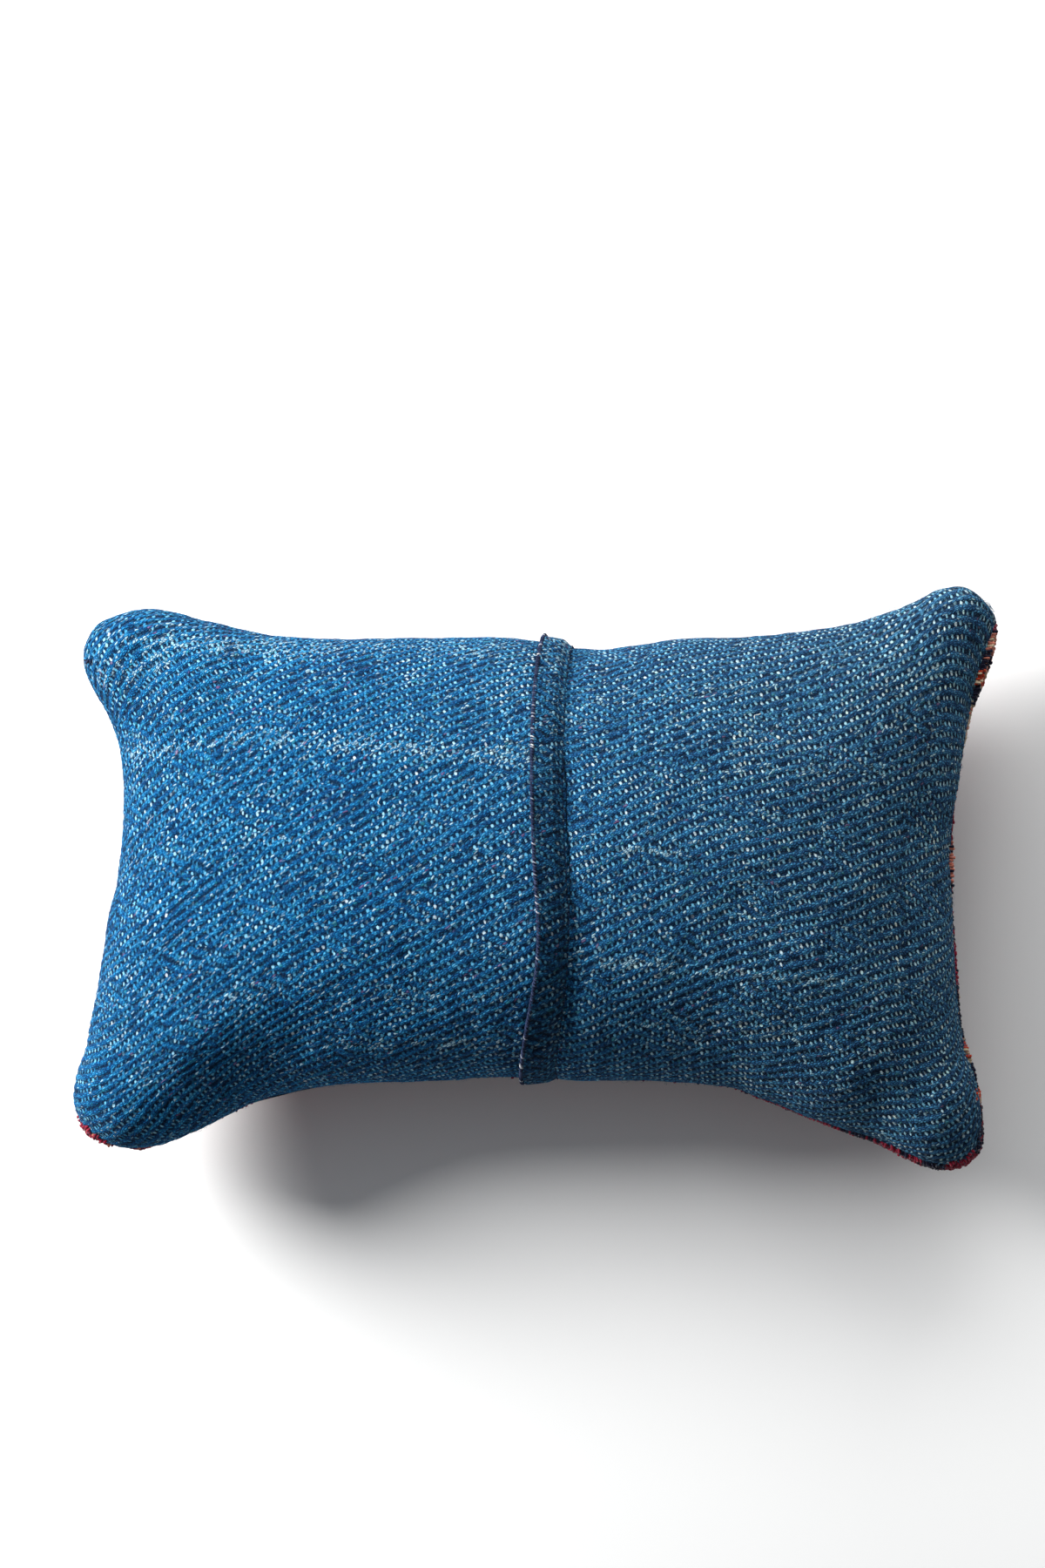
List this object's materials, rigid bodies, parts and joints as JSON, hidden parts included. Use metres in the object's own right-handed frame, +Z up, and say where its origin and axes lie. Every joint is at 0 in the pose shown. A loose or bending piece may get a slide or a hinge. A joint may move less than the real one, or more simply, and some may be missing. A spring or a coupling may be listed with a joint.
{
  "type": "carpet cushion",
  "caption": "Plump oblong cushion with drawn-in sides and blunt ears: handwoven blue wool twill back with a lapped, overcast strip, and a pile carpet face wrapping the underside.",
  "frame": {"origin": "middle of the outline, on the surface the cushion lies on", "axes": "+X along the cushion's length, +Y across it towards the back edge, +Z up out of the woven back"},
  "size_m": [0.5984, 0.3642, 0.1777],
  "materials": {
    "blue_twill": "matte handwoven wool twill, mottled indigo blue",
    "pile_carpet": "short knotted wool pile, crimson with navy, cream and salmon",
    "strip_twill": "the same twill, a shade darker",
    "overcast_thread": "navy and mauve-grey wool overcasting"
  },
  "bodies": {
    "root": {"cushion": "blue_twill", "carpet_face": "pile_carpet", "back_strip": "strip_twill", "strip_overcast": "overcast_thread"}
  },
  "joints": []
}
